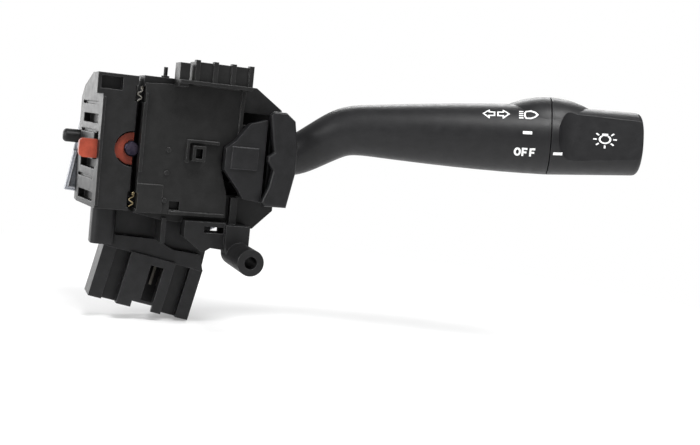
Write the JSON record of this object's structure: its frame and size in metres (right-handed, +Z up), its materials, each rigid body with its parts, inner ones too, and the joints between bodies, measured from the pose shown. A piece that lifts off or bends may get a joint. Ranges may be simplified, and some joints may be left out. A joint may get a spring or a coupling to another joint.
{
  "type": "combination stalk switch",
  "caption": "Steering column stalk switch: a curved lever with a rotary light knob on a black moulded switch body with a boss, a cancel pawl, a tilted plug socket and a translucent rear cover.",
  "frame": {"origin": "centre of the screw boss's hole at its end face on the driver's side", "axes": "+X along the lever towards its knob, +Y away from the driver along the boss, +Z up"},
  "size_m": [0.1965, 0.0927, 0.0957],
  "materials": {
    "black_plastic": "fine-grained charcoal moulding",
    "lever_plastic": "satin charcoal grip moulding",
    "pawl_plastic": "orange-red acetal",
    "cover_plastic": "milky translucent polypropylene",
    "board_plastic": "dark board moulding",
    "steel": "turned steel",
    "post_steel": "blued steel",
    "contact_metal": "tinned brass"
  },
  "bodies": {
    "base": {"housing": "black_plastic", "cancel_frame": "black_plastic", "locating_pin": "black_plastic", "connector": "black_plastic", "pawl_post": "post_steel", "turn_pin": "steel", "wide_blades": "contact_metal", "narrow_blades": "contact_metal", "rear_cover": "cover_plastic", "contact_board": "board_plastic", "front_plate": "black_plastic", "leaf_springs": "steel", "contact_strips": "contact_metal"},
    "turn": {"turn_bracket": "black_plastic", "dimmer_pin": "steel"},
    "lever": {"lever_root": "black_plastic", "lever_shield": "black_plastic", "stalk": "lever_plastic", "stop_pin": "steel", "detent_ball": "steel", "detent_spring": "steel"},
    "knob": {"knob": "lever_plastic", "knob_shaft": "steel"},
    "pawl": {"cancel_pawl": "pawl_plastic"}
  },
  "joints": [
    {"name": "turn_signal", "type": "hinge", "parent": "base", "child": "turn", "pos_m": [-0.004, 0.03, 0.0355], "axis": [0, 1, 0], "range_deg": [-9, 9]},
    {"name": "dimmer", "type": "hinge", "parent": "turn", "child": "lever", "pos_m": [0.008, 0.0284, 0.0355], "axis": [0, 0, 1], "range_deg": [-6, 4.5]},
    {"name": "light_knob", "type": "hinge", "parent": "lever", "child": "knob", "pos_m": [0.0446, 0.0181, 0.0487], "axis": [0.8975, -0.4377, 0.0541], "range_deg": [-64, 0]},
    {"name": "cancel_swing", "type": "hinge", "parent": "base", "child": "pawl", "pos_m": [-0.0389, 0.029, 0.0339], "axis": [0, 1, 0], "range_deg": [-8, 8], "stiffness_Nm_per_rad": 0.02}
  ]
}
